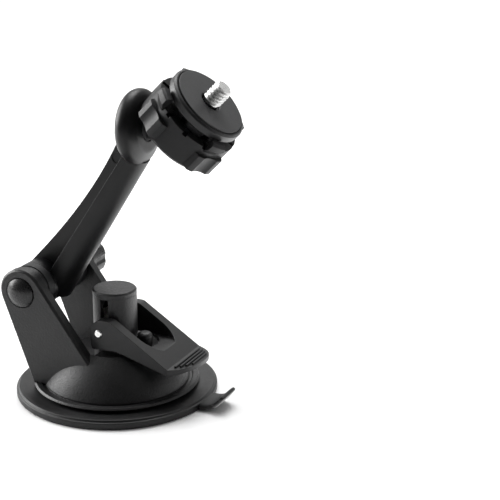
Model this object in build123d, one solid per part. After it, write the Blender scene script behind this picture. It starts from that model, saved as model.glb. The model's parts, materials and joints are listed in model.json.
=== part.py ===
from build123d import *
import os
from math import atan2, cos, degrees, hypot, radians, sin, sqrt

# Suction mount for a dash camera. Millimetres, +Z up.
# Origin: centre of the suction face, on the surface that the pad sticks to.
# +X: the way the lever points and the arm leans. +Y and -Y: the hinge axes.

# ---- driving dimensions ----
PAD_RADIUS = 35.0
PAD_THICK = 3.2
PAD_SEAL_RADIUS = 24.0          # inside this radius the locked pad is drawn up off the surface
PAD_LIFT = 2.3                  # height of the hollow under the middle of the locked pad
TAB_WIDTH = 12.0
TAB_TIP = (44.0, 6.6)           # x and z of the pull tab's curled tip

RIM_RADIUS = 28.8
RIM_TOP = 4.9
DOME_BALL_RADIUS = 27.8         # the dome is a cap of a sphere
DOME_BALL_Z = -6.6
DOME_TOP = 17.3
LEDGE_RADIUS = 25.3
CAVITY_TOP = 10.4
SHELL = 2.2

TOWER_RADIUS = 7.6
TOWER_TOP = 37.4
TOWER_CAP = 1.9
BORE_RADIUS = 5.6
SLOT_WIDTH = 3.0
SLOT_TOP = 35.2
SLOT_BOTTOM = 21.2

HINGE = (-26.75, 37.16)         # x and z of the arm's hinge
EAR_OUTER = 17.7
EAR_INNER = 13.9
EAR_RADIUS = 8.2
EAR_CHAMFER = 0.7
BOSS_INNER = 11.6
POCKET_FLOOR = 12.4

PIN_Z = 24.6                    # lever pin, level when locked
PIN_RADIUS = 1.4
RUN_FIT = 0.04                  # radial clearance of a pin that turns
LEVER_HALF = 12.1
CHEEK_INNER = 8.5
LEVER_TIP_X = 34.4

ARM_LENGTH = 69.9
ARM_ANGLE = 56.4                # elevation of the arm above the surface
BAR_OFFSET = -2.3               # the bar runs below the line from the hinge to the dish
BAR_LENGTH = 61.0
BAR_FOOT_RADIUS = 7.7
BAR_TOP_RADIUS = 6.2
BARREL_RADIUS = 7.9
BARREL_HALF = 8.2
WEB_HALF = 2.9
BOLT_RADIUS = 2.5

BALL = (27.2, 95.6)             # x and z of the ball's centre
BALL_RADIUS = 9.0
STEM_ANGLE = 1.5                # elevation of the ball's neck
NECK_RADIUS = 4.0
ROOT_RADIUS = 3.0
DISH_RADIUS = 12.6             # disc with a full round rim, behind the ball
DISH_BACK = -19.7               # along the neck, from the ball's centre
DISH_FRONT = -12.4

HEAD_ANGLE = 45.5               # elevation of the camera screw's axis
PLATE_RADIUS = 14.0
PLATE_BACK = 10.6               # distances along the head's axis from the ball's centre
PLATE_FRONT = 13.7
PLATE_PAD_FRONT = 14.6
NUT_BACK = -3.0
NUT_FRONT = 8.1
NUT_RADIUS = 15.3
LOBE_RADIUS = 16.8
LOBE_BACK = -1.6
LOBE_FRONT = 5.0
DENT_RADIUS = 7.0               # hollow along the middle of each lobe
TOOTH_FRONT = 11.6
TOOTH_WIDTH = 18.0              # degrees
TOOTH_TURN = -7.0               # degrees from the middle of the lobe
LOBE_COUNT = 4
LOBE_WIDTH = 45.0               # degrees
LOBE_START = 62.0               # degrees, first lobe
COLLET_RADIUS = 11.5
STUD_RADIUS = 3.175             # 1/4 inch camera screw
STUD_LENGTH = 7.0

HINGE_PLACE = Pos(HINGE[0], 0, HINGE[1])
ALONG_Y = Rot(-90, 0, 0)        # turns a shape made along +Z to lie along +Y


def direction(angle):
    return Vector(cos(radians(angle)), 0, sin(radians(angle)))


def axis_frame(centre, angle):
    """A frame at centre with z along the given elevation and x a quarter turn above it."""
    x_dir = direction(angle + 90)
    return Plane(origin=(centre[0], 0, centre[1]), x_dir=x_dir, z_dir=direction(angle)).location


STEM = axis_frame(BALL, STEM_ANGLE)
HEAD = axis_frame(BALL, HEAD_ANGLE)
ARM = Plane(
    origin=(HINGE[0], 0, HINGE[1]), x_dir=direction(ARM_ANGLE), z_dir=direction(ARM_ANGLE + 90)
).location


def rod(radius, low, high):
    return Pos(0, 0, (low + high) / 2) * Cylinder(radius, high - low)


def ring(outer, inner, low, high):
    return rod(outer, low, high) - rod(inner, low - 1, high + 1)


def block(low, high):
    size = [h - l for l, h in zip(low, high)]
    middle = [(h + l) / 2 for l, h in zip(low, high)]
    return Pos(*middle) * Box(*size)


def turned(*edges):
    """Solid of revolution about Z from edges in the XZ plane."""
    return revolve(make_face(edges), Axis.Z)


def turned_outline(points):
    return revolve(make_face(Polyline(*[(r, 0, z) for r, z in points], close=True)), Axis.Z)


def side_plate(edges, y_low, y_high):
    """Plate cut to an outline in the XZ plane, between two Y values."""
    face = make_face(edges)
    return Pos(0, y_low, 0) * extrude(face, amount=y_high - y_low, dir=(0, 1, 0))


def side_polygon(points, y_low, y_high):
    outline = Polyline(*[(x, 0, z) for x, z in points], close=True)
    return side_plate(outline.edges(), y_low, y_high)


def rim_edges(shape, height, tolerance=0.01):
    return shape.edges().filter_by_position(Axis.Z, height - tolerance, height + tolerance)


# ---- suction pad and its core ----
CORE_RADIUS = 11.0
CORE_THICK = 2.2
MEMBRANE = 2.4


def suction_pad():
    slope_start = CORE_RADIUS + 0.2
    profile = [
        (PAD_RADIUS, 0.0),
        (PAD_RADIUS, PAD_THICK - 0.7),
        (PAD_RADIUS - 0.7, PAD_THICK),
        (PAD_SEAL_RADIUS, PAD_THICK),
        (slope_start, PAD_LIFT + MEMBRANE),
        (slope_start, PAD_LIFT),
        (PAD_SEAL_RADIUS - 1.0, 0.0),
    ]
    tip_x, tip_z = TAB_TIP
    tab = side_polygon(
        [
            (PAD_RADIUS - 3, 0.4),
            (PAD_RADIUS + 3.5, 0.6),
            (tip_x - 2.4, 2.6),
            (tip_x + 0.6, tip_z - 0.6),
            (tip_x - 0.9, tip_z),
            (tip_x - 3.8, 4.2),
            (PAD_RADIUS + 2.6, 2.5),
            (PAD_RADIUS - 3, 2.5),
        ],
        -TAB_WIDTH / 2,
        TAB_WIDTH / 2,
    )
    return turned_outline(profile) + tab


def pad_core_disc():
    """Stiff disc moulded into the middle of the pad, with a spigot that the rod screws into."""
    low = PAD_LIFT + 0.1
    disc = rod(CORE_RADIUS, low, low + CORE_THICK)
    spigot = rod(3.0, low + CORE_THICK, low + CORE_THICK + 3.0)
    return disc + spigot


ROD_FOOT = PAD_LIFT + 0.1 + CORE_THICK
ROD_TOP = 29.0


def plunger_rod():
    body = rod(BORE_RADIUS - 0.15, ROD_FOOT, ROD_TOP)
    foot = rod(9.4, ROD_FOOT, ROD_FOOT + 1.0)
    socket = rod(3.0, ROD_FOOT - 1, ROD_FOOT + 3.0)
    pin_hole = Pos(0, 0, PIN_Z) * ALONG_Y * rod(PIN_RADIUS + RUN_FIT, -20, 20)
    return chamfer(rim_edges(body + foot, ROD_TOP), 0.6) - socket - pin_hole


def plunger_spring():
    """Return spring round the rod, between the rod's foot and the roof of the housing."""
    wire = 0.5
    coil_radius = 7.6
    low = ROD_FOOT + 1.0 + wire + 0.05
    high = CAVITY_TOP - wire - 0.05
    path = Helix(pitch=(high - low) / 3, height=high - low, radius=coil_radius, center=(0, 0, low))
    start = Plane(origin=path @ 0, z_dir=path % 0)
    return sweep(start * Circle(wire), path=path, is_frenet=True)


# ---- housing ----
def tangent_point(outside, centre, radius, side):
    """Where a line from a point outside a circle touches it; side is +1 or -1."""
    dx, dz = centre[0] - outside[0], centre[1] - outside[1]
    away = hypot(dx, dz)
    reach = sqrt(away ** 2 - radius ** 2)
    angle = atan2(dz, dx) + side * atan2(radius, reach)
    return outside[0] + reach * cos(angle), outside[1] + reach * sin(angle)


def ear_plate(y_low, y_high):
    rear_foot = (-23.3, RIM_TOP - 0.4)
    front_foot = (-0.3, 14.7)
    rear_touch = tangent_point(rear_foot, HINGE, EAR_RADIUS, 1)
    front_touch = tangent_point(front_foot, HINGE, EAR_RADIUS, -1)
    top_angle = 0.5 * (
        degrees(atan2(rear_touch[1] - HINGE[1], rear_touch[0] - HINGE[0])) % 360
        + degrees(atan2(front_touch[1] - HINGE[1], front_touch[0] - HINGE[0]))
    )
    top = Vector(HINGE[0], 0, HINGE[1]) + direction(top_angle) * EAR_RADIUS
    line = Polyline(
        (rear_touch[0], 0, rear_touch[1]),
        (rear_foot[0], 0, rear_foot[1]),
        (front_foot[0], 0, rear_foot[1]),
        (front_foot[0], 0, front_foot[1]),
        (front_touch[0], 0, front_touch[1]),
    )
    arc = ThreePointArc((front_touch[0], 0, front_touch[1]), top, (rear_touch[0], 0, rear_touch[1]))
    return side_plate([*line.edges(), arc], y_low, y_high)


def base_housing():
    dome_ball = Pos(0, 0, DOME_BALL_Z) * Sphere(DOME_BALL_RADIUS)
    dome = dome_ball & rod(LEDGE_RADIUS, RIM_TOP - 1.2, DOME_TOP)
    rim = turned_outline(
        [
            (0, PAD_THICK + 0.6),
            (RIM_RADIUS - 0.6, PAD_THICK + 0.6),
            (RIM_RADIUS, PAD_THICK + 1.0),
            (RIM_RADIUS, RIM_TOP - 0.6),
            (RIM_RADIUS - 0.6, RIM_TOP),
            (LEDGE_RADIUS + 1.3, RIM_TOP),
            (LEDGE_RADIUS + 0.8, RIM_TOP - 0.8),
            (0, RIM_TOP - 0.8),
        ]
    )
    press_rib = ring(27.4, 25.2, PAD_THICK, PAD_THICK + 1.2)
    pocket = block((-40, -EAR_INNER, POCKET_FLOOR), (-0.6, EAR_INNER, 40))
    tower = rod(TOWER_RADIUS, CAVITY_TOP, TOWER_TOP - TOWER_CAP)
    body = dome + rim + press_rib - pocket + tower
    for side in (-1, 1):
        inner, outer = sorted((side * EAR_INNER, side * EAR_OUTER))
        ear = ear_plate(inner, outer)
        outer_face = ear.faces().sort_by(Axis.Y)[0 if side < 0 else -1]
        ear = chamfer(outer_face.edges(), EAR_CHAMFER)
        boss_ends = sorted((side * BOSS_INNER, side * EAR_INNER))
        boss = HINGE_PLACE * ALONG_Y * rod(BARREL_RADIUS - 0.3, *boss_ends)
        body += ear
        body += boss
    cavity_ball = Pos(0, 0, DOME_BALL_Z) * Sphere(DOME_BALL_RADIUS - SHELL)
    cavity = cavity_ball & rod(RIM_RADIUS, PAD_THICK - 1, CAVITY_TOP)
    bore = rod(BORE_RADIUS, 0, TOWER_TOP)
    slot_reach = TOWER_RADIUS + 1
    slot = block(
        (-SLOT_WIDTH / 2, -slot_reach, SLOT_BOTTOM),
        (SLOT_WIDTH / 2, slot_reach, SLOT_TOP),
    )
    bolt_hole = HINGE_PLACE * ALONG_Y * rod(BOLT_RADIUS + RUN_FIT, -30, 30)
    cap_seat = HINGE_PLACE * ALONG_Y * rod(5.4, -EAR_OUTER - 1, -EAR_OUTER + 0.7)
    head_seat = HINGE_PLACE * ALONG_Y * rod(4.4, -EAR_OUTER - 1, -EAR_OUTER + 2.4)
    peg_hole = Pos(PEG_X, 0, 0) * rod(1.6, CAVITY_TOP + 1, DOME_TOP + 1)
    return body - cavity - bore - slot - bolt_hole - cap_seat - head_seat - peg_hole


def tower_cap():
    low = TOWER_TOP - TOWER_CAP
    lid = chamfer(rim_edges(rod(TOWER_RADIUS, low, TOWER_TOP), TOWER_TOP), 0.5)
    spigot = ring(BORE_RADIUS, BORE_RADIUS - 1.2, low - 3.0, low)
    slot = block((-SLOT_WIDTH / 2, -20, SLOT_BOTTOM), (SLOT_WIDTH / 2, 20, low - 0.3))
    return lid + spigot - slot


SCOOP_FLOOR = 19.0              # level ledge in front of the peg
SCOOP_END = 13.4
PEG_X = 11.4
PEG_TOP = 22.9


def lever_stop_peg():
    peg = fillet(rim_edges(rod(2.7, DOME_TOP, PEG_TOP), PEG_TOP), 1.6)
    return Pos(PEG_X, 0, 0) * (peg + rod(1.6, DOME_TOP - 4.0, DOME_TOP))


# ---- cam lever and its pin ----
def cam_lever():
    crease = (26.1, 15.8)
    tip_x = LEVER_TIP_X
    outline = [
        Line((-2.6, 0, 18.9), (2.7, 0, 18.9)),
        Line((2.7, 0, 18.9), (5.7, 0, 19.1)),
        ThreePointArc((5.7, 0, 19.1), (9.0, 0, 18.5), (12.2, 0, 17.6)),
        Line((12.2, 0, 17.6), (23.6, 0, 14.3)),
        ThreePointArc((23.6, 0, 14.3), (26.4, 0, 13.75), (29.2, 0, 14.0)),
        Line((29.2, 0, 14.0), (tip_x, 0, 15.2)),
        Line((tip_x, 0, 15.2), (tip_x, 0, 16.7)),
        ThreePointArc((tip_x, 0, 16.7), (30.0, 0, 15.9), (crease[0], 0, crease[1])),
        Line((crease[0], 0, crease[1]), (5.5, 0, 29.0)),
        ThreePointArc((5.5, 0, 29.0), (4.6, 0, 29.4), (3.6, 0, 29.5)),
        Line((3.6, 0, 29.5), (1.5, 0, 29.5)),
        ThreePointArc((1.5, 0, 29.5), (-2.0, 0, 28.0), (-3.4, 0, PIN_Z)),
        Line((-3.4, 0, PIN_Z), (-2.6, 0, 18.9)),
    ]
    body = side_plate(outline, -LEVER_HALF, LEVER_HALF)
    # the plan view ends in an arc from one corner of the crease to the other
    sag = LEVER_TIP_X - crease[0]
    plan_radius = (LEVER_HALF ** 2 + sag ** 2) / (2 * sag)
    plan = Pos(LEVER_TIP_X - plan_radius, 0, 0) * rod(plan_radius, 0, 40)
    body &= plan + block((-20, -LEVER_HALF, 0), (crease[0], LEVER_HALF, 40))
    throat_end = PEG_X + 4.4 - CHEEK_INNER
    throat = block((-20, -CHEEK_INNER, 0), (throat_end, CHEEK_INNER, 50))
    throat += Pos(throat_end, 0, 0) * rod(CHEEK_INNER, 0, 50)
    scoop = block((throat_end, -CHEEK_INNER, SCOOP_FLOOR), (SCOOP_END, CHEEK_INNER, 50))
    scoop += Pos(SCOOP_END, 0, 0) * rod(CHEEK_INNER, SCOOP_FLOOR, 50)
    pin_hole = Pos(0, 0, PIN_Z) * ALONG_Y * rod(PIN_RADIUS + RUN_FIT, -20, 20)
    body = body - throat - scoop - pin_hole
    for step in range(4):
        x = crease[0] + 1.6 + 1.5 * step
        half = sqrt(plan_radius ** 2 - (x - LEVER_TIP_X + plan_radius) ** 2) - 2.2
        body += Pos(x, 0, 16.05 + 0.12 * step) * ALONG_Y * rod(0.42, -half, half)
    return body


def lever_pin():
    return Pos(0, 0, PIN_Z) * ALONG_Y * chamfer(
        rod(PIN_RADIUS, -LEVER_HALF - 0.35, LEVER_HALF + 0.35).edges().filter_by(GeomType.CIRCLE), 0.3
    )


# ---- hinge hardware ----
WASHER_THICK = 0.8
KNOB_LOW = EAR_OUTER + WASHER_THICK
KNOB_HIGH = 28.2
KNOB_RADIUS = 7.8


def hinge_bolt():
    shank = rod(BOLT_RADIUS, -EAR_OUTER + 2.4, KNOB_HIGH - 2.0)
    head = rod(4.3, -EAR_OUTER + 0.75, -EAR_OUTER + 2.4)
    return HINGE_PLACE * ALONG_Y * (shank + head)


def pivot_cap():
    dome = Pos(0, 0, -EAR_OUTER + 5.4) * Sphere(7.6) & rod(5.1, -EAR_OUTER - 4, -EAR_OUTER + 0.7)
    return HINGE_PLACE * ALONG_Y * dome


def friction_washer(side):
    low, high = sorted((side * (BARREL_HALF + 0.1), side * (BOSS_INNER - 0.05)))
    return HINGE_PLACE * ALONG_Y * ring(BARREL_RADIUS, BOLT_RADIUS + 0.05, low, high)


def knob_washer():
    return HINGE_PLACE * ALONG_Y * ring(5.5, BOLT_RADIUS + 0.1, EAR_OUTER, KNOB_LOW)


NUT_FLAT = 8.0
NUT_THICK = 4.0


def hexagon(across_flats, low, high):
    prism = extrude(RegularPolygon(across_flats / 2, 6, major_radius=False), amount=high - low)
    return Pos(0, 0, low) * prism


def knob_nut():
    body = hexagon(NUT_FLAT, KNOB_LOW + 0.4, KNOB_LOW + 0.4 + NUT_THICK)
    return HINGE_PLACE * ALONG_Y * (body - rod(BOLT_RADIUS + RUN_FIT, 0, 40))


def clamp_knob():
    body = rod(KNOB_RADIUS, KNOB_LOW + 0.1, KNOB_HIGH)
    body = chamfer(rim_edges(body, KNOB_HIGH), 0.9)
    flute_count = 8
    for i in range(flute_count):
        flute = Pos(KNOB_RADIUS + 0.9, 0, 0) * rod(1.8, KNOB_LOW + 1.8, KNOB_HIGH + 1)
        body -= Rot(0, 0, 360 * i / flute_count) * flute
    nut_pocket = hexagon(NUT_FLAT, KNOB_LOW - 1, KNOB_LOW + 0.4 + NUT_THICK)
    bolt_way = rod(BOLT_RADIUS + 0.3, KNOB_LOW - 1, KNOB_HIGH - 1.6)
    return HINGE_PLACE * ALONG_Y * (body - nut_pocket - bolt_way)


# ---- arm ----
BUSH_RADIUS = 3.6
ROOT_END = -18.6                # far end of the ball stud's root, along the neck


def arm_beam():
    barrel = ALONG_Y * rod(BARREL_RADIUS, -BARREL_HALF, BARREL_HALF)
    bar = Rot(0, 90, 0) * Pos(0, 0, BAR_LENGTH / 2) * Cone(BAR_FOOT_RADIUS, BAR_TOP_RADIUS, BAR_LENGTH)
    bar &= block((0, -20, -20), (BAR_LENGTH, 20, 0.6))
    corners = bar.edges().filter_by(GeomType.LINE).group_by(SortBy.LENGTH)[-1]
    bar = Pos(0, 0, BAR_OFFSET) * fillet(corners, 1.3)
    web_end = 68.5
    back_curve = Spline((0, 0, 7.9), (9, 0, 6.2), (27, 0, 3.6), (46, 0, 2.5), (web_end, 0, 4.3))
    web_sides = Polyline((web_end, 0, 4.3), (web_end, 0, -4), (0, 0, -4), (0, 0, 7.9))
    web = side_plate([back_curve, *web_sides.edges()], -WEB_HALF, WEB_HALF)
    mark = Pos(56.5, 0, 0.4) * ALONG_Y * rod(1.9, -WEB_HALF - 1, -WEB_HALF + 0.25)
    arm = ARM * (barrel + bar + web - mark) - STEM * rod(20, DISH_FRONT - 0.4, 20)
    arm += STEM * dish()
    arm -= HINGE_PLACE * ALONG_Y * rod(BUSH_RADIUS, -20, 20)
    return arm - STEM * rod(ROOT_RADIUS + RUN_FIT, ROOT_END - 0.2, 0)


def dish():
    """Round-rimmed disc behind the ball, in the neck's frame."""
    middle = (DISH_BACK + DISH_FRONT) / 2
    rim = (DISH_FRONT - DISH_BACK) / 2
    inner = DISH_RADIUS - rim
    seat = DISH_FRONT - 0.4
    back_bend = (inner + rim * sqrt(0.5), 0, middle - rim * sqrt(0.5))
    return turned(
        Line((0, 0, seat), (0, 0, DISH_BACK)),
        Line((0, 0, DISH_BACK), (inner, 0, DISH_BACK)),
        ThreePointArc((inner, 0, DISH_BACK), back_bend, (DISH_RADIUS, 0, middle)),
        Spline(
            (DISH_RADIUS, 0, middle),
            (DISH_RADIUS - 0.9, 0, DISH_FRONT - 1.5),
            (DISH_RADIUS - 3.4, 0, DISH_FRONT - 0.35),
            (NECK_RADIUS + 0.8, 0, DISH_FRONT),
            tangents=[(0, 0, 1), (-1, 0, 0)],
        ),
        Line((NECK_RADIUS + 0.8, 0, DISH_FRONT), (NECK_RADIUS + 0.8, 0, seat)),
        Line((NECK_RADIUS + 0.8, 0, seat), (0, 0, seat)),
    )


def arm_bush():
    return HINGE_PLACE * ALONG_Y * ring(BUSH_RADIUS, BOLT_RADIUS + RUN_FIT, -BARREL_HALF, BARREL_HALF)


def ball_stud():
    foot = DISH_FRONT - 0.35
    neck = turned_outline(
        [
            (0, ROOT_END),
            (ROOT_RADIUS, ROOT_END),
            (ROOT_RADIUS, foot),
            (NECK_RADIUS + 0.5, foot),
            (NECK_RADIUS, foot + 1.0),
            (NECK_RADIUS, 0),
            (0, 0),
        ]
    )
    return STEM * (neck + Sphere(BALL_RADIUS))


# ---- head: everything that turns on the ball ----
SEAT_OUTER = BALL_RADIUS + 0.95
SEAT_BACK = -1.0
COLLET_BACK = -1.2


def ball_seat():
    shell = Sphere(SEAT_OUTER - 0.03) - Sphere(BALL_RADIUS + 0.05)
    return HEAD * (shell & rod(20, SEAT_BACK, 8.9))


def head_socket():
    body = rod(COLLET_RADIUS, COLLET_BACK, PLATE_BACK)
    cavity = Sphere(SEAT_OUTER) & rod(20, SEAT_BACK - 0.03, 20)
    cavity += Sphere(BALL_RADIUS + 0.08)
    body -= cavity
    for i in range(8):
        notch = block((9.6, -1.1, 4.6), (13, 1.1, 9.9)) + block((8.0, -0.6, -5), (13, 0.6, 5.0))
        body -= Rot(0, 0, 45 * i) * notch
    return HEAD * (body - screw_ways(0.0))


SCREW_CIRCLE = 8.7
SCREW_LOW = 7.4


def screw_ways(extra):
    """Three countersunk screws, as solids, spread round the head's axis."""
    top = PLATE_FRONT - 0.3
    screw = rod(1.0 + extra, SCREW_LOW, top)
    screw += Pos(0, 0, top - 0.6) * Cone(1.0 + extra, 1.9 + extra, 1.2)
    one = Pos(SCREW_CIRCLE, 0, 0) * screw
    return one + Rot(0, 0, 120) * one + Rot(0, 0, 240) * one


def plate_screws():
    cross = block((-0.9, -0.25, PLATE_FRONT - 0.8), (0.9, 0.25, PLATE_FRONT))
    cross += block((-0.25, -0.9, PLATE_FRONT - 0.8), (0.25, 0.9, PLATE_FRONT))
    recess = Pos(SCREW_CIRCLE, 0, 0) * cross
    recesses = recess + Rot(0, 0, 120) * recess + Rot(0, 0, 240) * recess
    return HEAD * (screw_ways(0.0) - recesses)


STUD_HEAD = 9.0
STUD_HEAD_THICK = 1.8


def camera_plate():
    body = turned_outline(
        [
            (0, PLATE_BACK),
            (PLATE_RADIUS - 0.7, PLATE_BACK),
            (PLATE_RADIUS, PLATE_BACK + 0.7),
            (PLATE_RADIUS, PLATE_FRONT - 0.2),
            (PLATE_RADIUS - 0.6, PLATE_FRONT + 0.4),
            (PLATE_RADIUS - 1.1, PLATE_FRONT + 0.4),
            (PLATE_RADIUS - 1.1, PLATE_FRONT),
            (0, PLATE_FRONT),
        ]
    )
    body -= hexagon(STUD_HEAD, PLATE_BACK - 1, PLATE_BACK + STUD_HEAD_THICK)
    body -= rod(STUD_RADIUS + 0.1, 0, 20)
    head_way = screw_ways(0.0) + Pos(0, 0, 0.3) * screw_ways(0.0)
    return HEAD * (body - head_way)


def plate_pad():
    body = ring(PLATE_RADIUS - 1.4, STUD_RADIUS + 0.4, PLATE_FRONT, PLATE_PAD_FRONT)
    return HEAD * chamfer(rim_edges(body, PLATE_PAD_FRONT)[-1], 0.3)


THREAD_ROOT = PLATE_PAD_FRONT + 0.2


def camera_stud():
    tip = PLATE_PAD_FRONT + STUD_LENGTH
    head = hexagon(STUD_HEAD, PLATE_BACK, PLATE_BACK + STUD_HEAD_THICK)
    shank = rod(2.6, PLATE_BACK, THREAD_ROOT)
    thread = chamfer(rim_edges(rod(STUD_RADIUS, THREAD_ROOT, tip), tip), 0.8)
    return HEAD * (head + shank + thread)


def lobe():
    """One wide grip lobe of the clamp nut, with a dent across its middle and a tooth in front."""
    half = LOBE_WIDTH / 2
    far = 30
    wedge = Polyline(
        (0, 0),
        (far * cos(radians(half)), -far * sin(radians(half))),
        (far, 0),
        (far * cos(radians(half)), far * sin(radians(half))),
        close=True,
    )
    sector = ring(LOBE_RADIUS, NUT_RADIUS - 1.5, LOBE_BACK, LOBE_FRONT)
    sector &= Pos(0, 0, LOBE_BACK) * extrude(make_face(wedge), amount=LOBE_FRONT - LOBE_BACK)
    uprights = sector.edges().filter_by(Axis.Z)
    sector = chamfer([e for e in uprights if hypot(e.center().X, e.center().Y) > NUT_RADIUS], 1.3)
    front_arcs = sector.faces().sort_by(Axis.Z)[-1].edges().filter_by(GeomType.CIRCLE)
    sector = chamfer(front_arcs.sort_by(SortBy.LENGTH)[-1], 1.2)
    dent = Pos(LOBE_RADIUS + DENT_RADIUS - 0.9, 0, 0) * rod(DENT_RADIUS, LOBE_BACK - 1, LOBE_FRONT + 1)
    tooth_points = [
        (NUT_RADIUS - 0.6, LOBE_FRONT + 0.6),
        (NUT_RADIUS, LOBE_FRONT + 1.4),
        (LOBE_RADIUS + 0.4, TOOTH_FRONT - 2.6),
        (LOBE_RADIUS + 0.4, TOOTH_FRONT - 0.6),
        (LOBE_RADIUS - 0.4, TOOTH_FRONT),
        (PLATE_RADIUS + 0.45, TOOTH_FRONT),
        (PLATE_RADIUS + 0.45, LOBE_FRONT + 0.6),
    ]
    outline = make_face(Polyline(*[(r, 0, z) for r, z in tooth_points], close=True))
    tooth = Rot(0, 0, TOOTH_TURN - TOOTH_WIDTH / 2) * revolve(outline, Axis.Z, revolution_arc=TOOTH_WIDTH)
    return sector - dent + tooth


def clamp_nut():
    body = rod(NUT_RADIUS, NUT_BACK, NUT_FRONT)
    body = chamfer(rim_edges(body, NUT_BACK), 1.2)
    for i in range(LOBE_COUNT):
        body += Rot(0, 0, LOBE_START + 360 * i / LOBE_COUNT) * lobe()
    body -= rod(COLLET_RADIUS + 0.12, COLLET_BACK - 0.15, 20)
    body -= Sphere(BALL_RADIUS + 0.3)
    body -= rod(PLATE_RADIUS + 0.4, NUT_FRONT, 20)
    notch = block((12.4, -0.8, NUT_FRONT - 0.9), (NUT_RADIUS + 0.2, 0.8, NUT_FRONT + 1))
    for i in range(12):
        body -= Rot(0, 0, 30 * i + 15) * notch
    return HEAD * body


PARTS = {
    "base_housing": base_housing,
    "tower_cap": tower_cap,
    "lever_stop_peg": lever_stop_peg,
    "suction_pad": suction_pad,
    "pad_core_disc": pad_core_disc,
    "plunger_rod": plunger_rod,
    "plunger_spring": plunger_spring,
    "lever_pin": lever_pin,
    "cam_lever": cam_lever,
    "hinge_bolt": hinge_bolt,
    "pivot_cap": pivot_cap,
    "friction_washer_near": lambda: friction_washer(-1),
    "friction_washer_far": lambda: friction_washer(1),
    "knob_washer": knob_washer,
    "knob_nut": knob_nut,
    "clamp_knob": clamp_knob,
    "arm_beam": arm_beam,
    "arm_bush": arm_bush,
    "ball_stud": ball_stud,
    "ball_seat": ball_seat,
    "head_socket": head_socket,
    "plate_screws": plate_screws,
    "camera_plate": camera_plate,
    "plate_pad": plate_pad,
    "camera_stud": camera_stud,
    "clamp_nut": clamp_nut,
}

os.makedirs("parts", exist_ok=True)
for name, make in PARTS.items():
    export_step(make(), f"parts/{name}.step")
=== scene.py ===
import bpy
import bmesh
import json
from math import copysign, cos, pi, radians, sin
from mathutils import Matrix, Vector


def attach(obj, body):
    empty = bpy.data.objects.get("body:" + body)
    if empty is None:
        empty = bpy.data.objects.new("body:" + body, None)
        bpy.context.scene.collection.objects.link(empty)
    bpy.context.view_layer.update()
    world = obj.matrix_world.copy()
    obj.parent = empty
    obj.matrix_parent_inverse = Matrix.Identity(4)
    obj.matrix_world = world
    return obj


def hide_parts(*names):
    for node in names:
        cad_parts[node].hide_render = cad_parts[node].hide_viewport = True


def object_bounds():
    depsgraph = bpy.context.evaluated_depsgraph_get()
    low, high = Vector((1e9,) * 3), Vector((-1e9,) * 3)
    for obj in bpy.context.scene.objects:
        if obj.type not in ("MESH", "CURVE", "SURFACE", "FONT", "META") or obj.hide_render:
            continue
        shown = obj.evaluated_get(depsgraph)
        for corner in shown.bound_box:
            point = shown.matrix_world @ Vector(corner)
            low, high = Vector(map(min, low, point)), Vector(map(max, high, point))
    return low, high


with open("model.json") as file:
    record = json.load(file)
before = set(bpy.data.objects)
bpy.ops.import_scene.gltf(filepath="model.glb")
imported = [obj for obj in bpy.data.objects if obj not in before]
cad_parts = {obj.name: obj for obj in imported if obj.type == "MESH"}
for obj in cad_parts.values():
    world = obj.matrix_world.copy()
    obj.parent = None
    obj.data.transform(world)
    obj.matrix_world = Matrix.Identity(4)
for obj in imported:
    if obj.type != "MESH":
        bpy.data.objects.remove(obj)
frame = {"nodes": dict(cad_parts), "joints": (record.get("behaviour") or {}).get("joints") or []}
cad_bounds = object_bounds()
nodes = frame["nodes"]
MM = 0.001

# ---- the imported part's frames, from its record ----
JOINTS = {joint["name"]: joint for joint in frame["joints"]}
BALL = Vector(JOINTS["ball_tilt"]["pos_m"])
HEAD_AXIS = -Vector(JOINTS["nut_turn"]["axis"]).normalized()
HEAD_UP = HEAD_AXIS.cross(Vector((0, 1, 0))).normalized()


def placement(x_axis, y_axis, z_axis, origin):
    columns = (x_axis, y_axis, z_axis, origin)
    rows = [[column[i] for column in columns] for i in range(3)]
    return Matrix(rows + [[0, 0, 0, 1]])


# local z along the camera screw, local x up the plate, origin at the ball's centre
HEAD_FRAME = placement(HEAD_UP, HEAD_AXIS.cross(HEAD_UP), HEAD_AXIS, BALL)


# ---- node helpers ----
def new_material(name):
    material = bpy.data.materials.new(name)
    material.use_nodes = True
    tree = material.node_tree
    shader = tree.nodes["Principled BSDF"]
    place = tree.nodes.new("ShaderNodeTexCoord")
    return material, tree, shader, place.outputs["Object"]


def noise(tree, place, size, detail=3.0, roughness=0.55, stretch=None):
    """Noise whose features are about the given size, in metres."""
    if stretch:
        mapping = tree.nodes.new("ShaderNodeMapping")
        mapping.inputs["Scale"].default_value = stretch
        tree.links.new(place, mapping.inputs["Vector"])
        place = mapping.outputs["Vector"]
    node = tree.nodes.new("ShaderNodeTexNoise")
    node.inputs["Scale"].default_value = 1 / size
    node.inputs["Detail"].default_value = detail
    node.inputs["Roughness"].default_value = roughness
    tree.links.new(place, node.inputs["Vector"])
    return node.outputs["Fac"]


def spread(tree, value, low, high, start=0.3, end=0.7):
    """Maps start..end onto low..high, and holds it there beyond both ends."""
    node = tree.nodes.new("ShaderNodeMapRange")
    node.inputs["From Min"].default_value = start
    node.inputs["From Max"].default_value = end
    node.inputs["To Min"].default_value = low
    node.inputs["To Max"].default_value = high
    tree.links.new(value, node.inputs["Value"])
    return node.outputs["Result"]


def calculate(tree, operation, first, second):
    node = tree.nodes.new("ShaderNodeMath")
    node.operation = operation
    tree.links.new(first, node.inputs[0])
    tree.links.new(second, node.inputs[1])
    return node.outputs["Value"]


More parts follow.
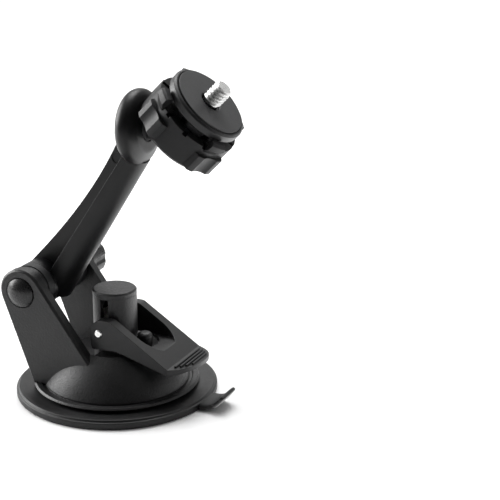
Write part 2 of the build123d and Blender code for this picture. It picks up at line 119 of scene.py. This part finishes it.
def blend_colours(tree, factor, first, second):
    """Mixes two colours; either may be three numbers or another node's output."""
    node = tree.nodes.new("ShaderNodeMix")
    node.data_type = "RGBA"
    tree.links.new(factor, node.inputs["Factor"])
    # sockets 6, 7 and output 2 are the colour ones of this node
    for socket, value in ((node.inputs[6], first), (node.inputs[7], second)):
        if isinstance(value, tuple):
            socket.default_value = (*value, 1)
        else:
            tree.links.new(value, socket)
    return node.outputs[2]


def rounded_edges(tree, radius):
    """A softened normal, and how much it differs from the true one: 0 on a face, about 1 on an edge."""
    bevel = tree.nodes.new("ShaderNodeBevel")
    bevel.samples = 6
    bevel.inputs["Radius"].default_value = radius
    geometry = tree.nodes.new("ShaderNodeNewGeometry")
    dot = tree.nodes.new("ShaderNodeVectorMath")
    dot.operation = "DOT_PRODUCT"
    tree.links.new(bevel.outputs["Normal"], dot.inputs[0])
    tree.links.new(geometry.outputs["Normal"], dot.inputs[1])
    edge = spread(tree, dot.outputs["Value"], 1.0, 0.0, start=0.72, end=0.97)
    return bevel.outputs["Normal"], edge


def bump(tree, height, normal, strength, distance):
    node = tree.nodes.new("ShaderNodeBump")
    node.inputs["Strength"].default_value = strength
    node.inputs["Distance"].default_value = distance
    tree.links.new(height, node.inputs["Height"])
    tree.links.new(normal, node.inputs["Normal"])
    return node.outputs["Normal"]


def scaled(colour, factor):
    return tuple(min(1.0, channel * factor) for channel in colour)


# ---- the two kinds of material ----
MOTTLE_SIZE = 9 * MM
SCUFF_SIZE = 2.4 * MM
MOTTLE_CONTRAST = 0.12
GRAIN_STRENGTH = 0.7
MOULDED_EDGE = 0.3 * MM

SCRATCH_SIZE = 0.25 * MM
SCRATCH_DEPTH = 0.006 * MM
SCRATCH_STRENGTH = 0.35
PATCH_SIZE = 1.6 * MM
METAL_EDGE = 0.12 * MM


def moulded(name, colour, roughness, grain=0.45 * MM, depth=0.02 * MM, wear=1.8, specular=0.38):
    """Moulded plastic or rubber: fine grain, mottled gloss, scuffs and rubbed edges."""
    material, tree, shader, place = new_material(name)
    normal, edge_mask = rounded_edges(tree, MOULDED_EDGE)
    mottle = noise(tree, place, MOTTLE_SIZE, detail=5.0)
    fine = noise(tree, place, grain, detail=2.0, roughness=0.5)
    scuffs = noise(tree, place, SCUFF_SIZE, detail=6.0, roughness=0.7)
    darker = scaled(colour, 1 - MOTTLE_CONTRAST)
    lighter = scaled(colour, 1 + MOTTLE_CONTRAST)
    toned = blend_colours(tree, spread(tree, mottle, 0.0, 1.0), darker, lighter)
    patchy = spread(tree, scuffs, 0.15, 1.0, start=0.4, end=0.62)
    rubbed = calculate(tree, "MULTIPLY", edge_mask, patchy)
    worn = blend_colours(tree, rubbed, toned, scaled(colour, wear))
    speckled = spread(tree, fine, -0.05, 0.05)
    scuffed = spread(tree, scuffs, 0.0, 0.05, start=0.5, end=0.75)
    gloss = spread(tree, mottle, roughness - 0.04, roughness + 0.05)
    gloss = calculate(tree, "ADD", gloss, speckled)
    gloss = calculate(tree, "ADD", gloss, scuffed)
    tree.links.new(worn, shader.inputs["Base Color"])
    tree.links.new(gloss, shader.inputs["Roughness"])
    tree.links.new(bump(tree, fine, normal, GRAIN_STRENGTH, depth), shader.inputs["Normal"])
    shader.inputs["Specular IOR Level"].default_value = specular
    return material


def metal(name, colour, roughness, stretch=None):
    """Turned or rolled metal: fine directional scratches, dull patches, bright edges."""
    material, tree, shader, place = new_material(name)
    normal, edge_mask = rounded_edges(tree, METAL_EDGE)
    lines = noise(tree, place, SCRATCH_SIZE, detail=3.0, roughness=0.6, stretch=stretch)
    patches = noise(tree, place, PATCH_SIZE, detail=4.0)
    toned = blend_colours(tree, spread(tree, patches, 0.0, 1.0), scaled(colour, 0.82), colour)
    bright = blend_colours(tree, edge_mask, toned, scaled(colour, 1.15))
    scratched = spread(tree, lines, roughness - 0.06, roughness + 0.08)
    gloss = calculate(tree, "ADD", scratched, spread(tree, patches, 0.0, 0.08))
    shader.inputs["Metallic"].default_value = 1.0
    tree.links.new(bright, shader.inputs["Base Color"])
    tree.links.new(gloss, shader.inputs["Roughness"])
    scored = bump(tree, lines, normal, SCRATCH_STRENGTH, SCRATCH_DEPTH)
    tree.links.new(scored, shader.inputs["Normal"])
    return material


GREY = (0.0105, 0.0105, 0.0110)
CHARCOAL = (0.0075, 0.0075, 0.0080)
BLACK = (0.0065, 0.0065, 0.0070)
RUBBER = (0.0050, 0.0050, 0.0054)
DEEP_BLACK = (0.0045, 0.0045, 0.0049)
FACE_GREY = (0.033, 0.033, 0.034)
WASHER_GREY = (0.012, 0.012, 0.013)
ACETAL_WHITE = (0.52, 0.51, 0.48)
STEEL = (0.78, 0.78, 0.77)
SPRING_STEEL = (0.42, 0.42, 0.43)
BRASS = (0.74, 0.56, 0.28)

looks = {
    "housing": moulded("housing_look", GREY, 0.42, grain=0.6 * MM, depth=0.16 * MM),
    "lever": moulded("lever_look", CHARCOAL, 0.42, grain=0.4 * MM),
    "arm": moulded("arm_look", DEEP_BLACK, 0.36, grain=0.35 * MM, depth=0.012 * MM, specular=0.25),
    "nut": moulded("nut_look", BLACK, 0.46, grain=0.4 * MM, specular=0.24),
    "plate": moulded("plate_look", BLACK, 0.40, grain=0.4 * MM),
    "knob": moulded("knob_look", GREY, 0.30, grain=0.5 * MM, depth=0.01 * MM),
    "pad": moulded("pad_look", RUBBER, 0.46, grain=0.3 * MM, wear=1.5, specular=0.4),
    "face": moulded("face_look", FACE_GREY, 0.5, grain=0.3 * MM, depth=0.03 * MM, wear=1.4),
    "washer": moulded("washer_look", WASHER_GREY, 0.6, grain=0.3 * MM),
    "acetal": moulded("acetal_look", ACETAL_WHITE, 0.38, wear=1.2),
    "steel": metal("steel_look", STEEL, 0.24),
    "spring": metal("spring_look", SPRING_STEEL, 0.34, stretch=(1, 1, 6)),
    "brass": metal("brass_look", BRASS, 0.30),
}

NODE_LOOKS = {
    "housing": ["base_housing", "tower_cap", "lever_stop_peg"],
    "lever": ["cam_lever"],
    "arm": ["arm_beam"],
    "nut": ["clamp_nut", "ball_stud"],
    "plate": ["camera_plate", "head_socket"],
    "knob": ["clamp_knob", "pivot_cap"],
    "pad": ["suction_pad"],
    "face": ["plate_pad"],
    "washer": ["friction_washer_near", "friction_washer_far"],
    "acetal": ["pad_core_disc", "plunger_rod", "arm_bush", "ball_seat"],
    "steel": ["lever_pin", "hinge_bolt", "knob_washer", "plate_screws", "camera_stud"],
    "spring": ["plunger_spring"],
    "brass": ["knob_nut"],
}
for look, names in NODE_LOOKS.items():
    for name in names:
        mesh = nodes[name].data
        mesh.materials.clear()
        mesh.materials.append(looks[look])


# ---- mesh helpers ----
WELD_DISTANCE = 0.004 * MM


def link(name, data):
    made = bpy.data.objects.new(name, data)
    bpy.context.scene.collection.objects.link(made)
    return made


def piece(name, mesh, look, body, replaced=()):
    made = link(name, mesh)
    mesh.materials.append(looks[look])
    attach(made, body)
    for node in replaced:
        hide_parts(node)
    return made


def finish_mesh(name, shape, sharp):
    """The mesh of a shape, smooth but for edges sharper than the given degrees."""
    bmesh.ops.remove_doubles(shape, verts=shape.verts, dist=WELD_DISTANCE)
    bmesh.ops.recalc_face_normals(shape, faces=shape.faces)
    mesh = bpy.data.meshes.new(name)
    shape.to_mesh(mesh)
    shape.free()
    mesh.shade_smooth()
    mesh.set_sharp_from_angle(angle=radians(sharp))
    return mesh


def rounded_outline(corners, steps):
    """A closed outline through corners of (radius, height, rounding), in millimetres."""
    outline = []
    places = [Vector((radius, height)) for radius, height, _ in corners]
    for i, (here, (_, _, rounding)) in enumerate(zip(places, corners)):
        before = places[i - 1]
        after = places[(i + 1) % len(places)]
        start = here + (before - here).normalized() * rounding
        end = here + (after - here).normalized() * rounding
        for k in range(steps + 1):
            t = k / steps
            outline.append(start * (1 - t) ** 2 + here * 2 * t * (1 - t) + end * t ** 2)
    return outline


def ring(shape, height, radii):
    """A ring round the camera screw's axis, with one vertex per radius, in millimetres."""
    row = []
    for i, radius in enumerate(radii):
        angle = 2 * pi * i / len(radii)
        point = Vector((radius * cos(angle), radius * sin(angle), height)) * MM
        row.append(shape.verts.new(HEAD_FRAME @ point))
    return row


def join_rows(shape, rows, closed=False):
    """Faces between neighbouring closed rows; closed also joins the last row to the first."""
    following = rows[1:] + rows[:1] if closed else rows[1:]
    for row, after in zip(rows, following):
        for i in range(len(row)):
            k = (i + 1) % len(row)
            shape.faces.new((row[i], row[k], after[k], after[i]))


def lathe(shape, outline, segments):
    """Revolves a closed outline of (radius, height) about z, in millimetres."""
    rows = []
    for i in range(segments):
        angle = 2 * pi * i / segments
        turned = [(radius * cos(angle), radius * sin(angle), height) for radius, height in outline]
        rows.append([shape.verts.new(Vector(point) * MM) for point in turned])
    join_rows(shape, rows, closed=True)


# ---- camera screw, with its real thread, in millimetres ----
STUD_RADIUS = 3.175
THREAD_PITCH = 1.27
THREAD_DEPTH = 0.62
THREAD_FLAT = 0.1
THREAD_START = 14.8
STUD_TIP = 21.6
TIP_CHAMFER = 0.75
TIP_SLOPE = 0.95
FOOT_SLOPE = 1.2
SHANK_RADIUS = 2.5
SHANK_START = 12.6
DIMPLE_RADIUS = 1.5
DIMPLE_DEPTH = 0.06
TURN_STEPS = 40
RISE_STEPS = 12


def thread_radius(height, turn):
    """The screw's radius at a height and a fraction of a turn, tapered at its foot and tip."""
    phase = (height / THREAD_PITCH - turn) % 1.0
    crest = (abs(phase * 2 - 1) - THREAD_FLAT) / (1 - 2 * THREAD_FLAT)
    crest = min(1.0, max(0.0, crest))
    tip_limit = STUD_RADIUS - TIP_CHAMFER + (STUD_TIP - height) * TIP_SLOPE
    foot_limit = STUD_RADIUS - THREAD_DEPTH + (height - THREAD_START) * FOOT_SLOPE
    return min(STUD_RADIUS - THREAD_DEPTH * (1 - crest), tip_limit, foot_limit)


def threaded_stud():
    shape = bmesh.new()
    rise = THREAD_PITCH / RISE_STEPS
    full_rises = int((STUD_TIP - THREAD_START) / rise)
    levels = [THREAD_START + rise * i for i in range(full_rises + 1)] + [STUD_TIP]
    turns = [i / TURN_STEPS for i in range(TURN_STEPS)]
    rows = [ring(shape, SHANK_START, [SHANK_RADIUS] * TURN_STEPS)]
    for level in levels:
        rows.append(ring(shape, level, [thread_radius(level, turn) for turn in turns]))
    rows.append(ring(shape, STUD_TIP - DIMPLE_DEPTH, [DIMPLE_RADIUS] * TURN_STEPS))
    join_rows(shape, rows)
    shape.faces.new(list(reversed(rows[0])))
    shape.faces.new(rows[-1])
    return finish_mesh("threaded_stud", shape, 40)


piece("threaded_stud", threaded_stud(), "steel", "head", ["camera_stud"])


# ---- suction pad: one skin with a rolled rim, and its curled pull tab ----
# (radius, height, rounding) round the skin's section, from under the rim
PAD_SECTION = [
    (34.4, 0.0, 0.25), (35.0, 0.35, 0.3), (35.0, 2.3, 0.2), (34.35, 2.55, 0.15), (34.1, 3.2, 0.3),
    (32.6, 3.2, 0.5), (30.6, 3.0, 0.8), (26.0, 3.0, 0.6), (24.0, 3.15, 1.0), (19.6, 5.2, 0.4),
    (19.6, 3.7, 0.3), (19.2, 2.35, 0.5), (23.0, 0.25, 0.8), (24.4, 0.0, 0.5),
]
PAD_SEGMENTS = 160
PAD_ROUND_STEPS = 4

# (x, z, thickness, half width) along the tab's middle, outwards from the rim
TAB_STATIONS = [
    (32.8, 1.45, 2.0, 6.0), (35.6, 1.40, 2.0, 6.0), (37.6, 1.50, 1.95, 5.95),
    (39.4, 2.05, 1.85, 5.8), (41.0, 3.20, 1.75, 5.6), (42.3, 4.75, 1.65, 5.3),
    (43.15, 5.75, 1.5, 4.9), (43.4, 6.05, 1.2, 4.4),
]
TAB_AROUND = 28
TAB_SIDE_POWER = 0.35
TAB_FACE_POWER = 0.6
TAB_SMOOTHING = 2


def pad_skin():
    shape = bmesh.new()
    lathe(shape, rounded_outline(PAD_SECTION, PAD_ROUND_STEPS), PAD_SEGMENTS)
    return finish_mesh("pad_skin", shape, 50)


def squared(value, power):
    """A sine or cosine swollen toward 1 and -1, so that a circle turns into a rounded box."""
    return copysign(abs(value) ** power, value)


def pull_tab():
    shape = bmesh.new()
    rows = []
    for i, (x, z, thickness, half_width) in enumerate(TAB_STATIONS):
        before = TAB_STATIONS[max(0, i - 1)]
        after = TAB_STATIONS[min(len(TAB_STATIONS) - 1, i + 1)]
        along = Vector((after[0] - before[0], 0, after[1] - before[1])).normalized()
        up = Vector((-along.z, 0, along.x))
        row = []
        for k in range(TAB_AROUND):
            angle = 2 * pi * k / TAB_AROUND
            across = squared(cos(angle), TAB_SIDE_POWER) * half_width
            lift = squared(sin(angle), TAB_FACE_POWER) * thickness / 2
            point = Vector((x, across, z)) + up * lift
            row.append(shape.verts.new(point * MM))
        rows.append(row)
    join_rows(shape, rows)
    shape.faces.new(rows[0])
    shape.faces.new(rows[-1])
    return finish_mesh("pull_tab", shape, 60)


piece("pad_skin", pad_skin(), "pad", "base", ["suction_pad"])
tab = piece("pull_tab", pull_tab(), "pad", "base")
softened = tab.modifiers.new("softened", "SUBSURF")
softened.levels = TAB_SMOOTHING
softened.render_levels = TAB_SMOOTHING


# ---- stage: floor, light, camera ----
FLOOR_REACH = 4.0
FLOOR_COLOUR = (0.93, 0.93, 0.93, 1)
# the surroundings are bright behind the object and dim on the camera's side
DIM_SIDE = (0.41, -0.91, 0.0)
WORLD_STRENGTH = 0.62
CAMERA_AZIMUTH = radians(24.43)
CAMERA_ELEVATION = radians(18.54)
CAMERA_PLACE = Vector((0.2357, -0.4064, 0.2077))
LENS_MM = 104.27
SENSOR_MM = 36


def build_floor():
    shape = bmesh.new()
    reach = FLOOR_REACH
    corners = [(-reach, -reach), (reach, -reach), (reach, reach), (-reach, reach)]
    shape.faces.new([shape.verts.new((x, y, 0)) for x, y in corners])
    mesh = bpy.data.meshes.new("floor")
    shape.to_mesh(mesh)
    shape.free()
    floor = link("floor", mesh)
    floor.location.z = cad_bounds[0][2]
    material, _, shader, _ = new_material("floor_look")
    shader.inputs["Base Color"].default_value = FLOOR_COLOUR
    shader.inputs["Roughness"].default_value = 0.6
    shader.inputs["Specular IOR Level"].default_value = 0.1
    mesh.materials.append(material)


def soft_light(name, place, size, power, aim=(0.0, 0.0, 0.05), seen=True):
    light = bpy.data.lights.new(name, "AREA")
    light.shape = "RECTANGLE"
    light.size, light.size_y = size
    light.energy = power
    lamp = link(name, light)
    lamp.location = place
    heading = Vector(aim) - Vector(place)
    lamp.rotation_euler = heading.to_track_quat("-Z", "Y").to_euler()
    lamp.visible_camera = seen


def build_world():
    world = bpy.data.worlds.new("studio")
    bpy.context.scene.world = world
    world.use_nodes = True
    tree = world.node_tree
    background = tree.nodes["Background"]
    place = tree.nodes.new("ShaderNodeTexCoord")
    toward = tree.nodes.new("ShaderNodeVectorMath")
    toward.operation = "DOT_PRODUCT"
    toward.inputs[1].default_value = DIM_SIDE
    tree.links.new(place.outputs["Generated"], toward.inputs[0])
    shade = spread(tree, toward.outputs["Value"], 1.0, 0.05, start=-0.1, end=0.7)
    colour = blend_colours(tree, shade, (0.0, 0.0, 0.0), (1.0, 1.0, 1.0))
    tree.links.new(colour, background.inputs["Color"])
    background.inputs["Strength"].default_value = WORLD_STRENGTH


def build_camera():
    right = Vector((cos(CAMERA_AZIMUTH), sin(CAMERA_AZIMUTH), 0))
    level = Vector((-sin(CAMERA_AZIMUTH), cos(CAMERA_AZIMUTH), 0))
    ahead = level * cos(CAMERA_ELEVATION) - Vector((0, 0, sin(CAMERA_ELEVATION)))
    camera = bpy.data.cameras.new("camera")
    camera.sensor_width = SENSOR_MM
    camera.lens = LENS_MM
    camera.clip_start = 0.01
    holder = link("camera", camera)
    holder.matrix_world = placement(right, right.cross(ahead), -ahead, CAMERA_PLACE)
    bpy.context.scene.camera = holder


build_floor()
build_world()
build_camera()
soft_light("overhead", (-0.10, 0.30, 0.70), (0.7, 0.5), 3.4)
soft_light("back_panel", (-0.42, 0.95, 0.42), (1.2, 0.4), 0.3)
soft_light("far_floor", (-0.6, 1.6, 2.6), (2.2, 1.4), 42.0, aim=(-0.5, 1.7, 0.0))
soft_light("left_panel", (-0.62, -0.04, 0.28), (0.5, 0.42), 6.2)
soft_light("right_panel", (0.60, 0.25, 0.22), (0.35, 0.6), 0.3)
# a light table: a glow from below, behind and to the right of the base
soft_light("table_glow", (0.15, 0.12, 0.002), (0.22, 0.26), 0.32, aim=(0.15, 0.12, 0.5), seen=False)
bpy.context.scene.view_settings.view_transform = "Standard"
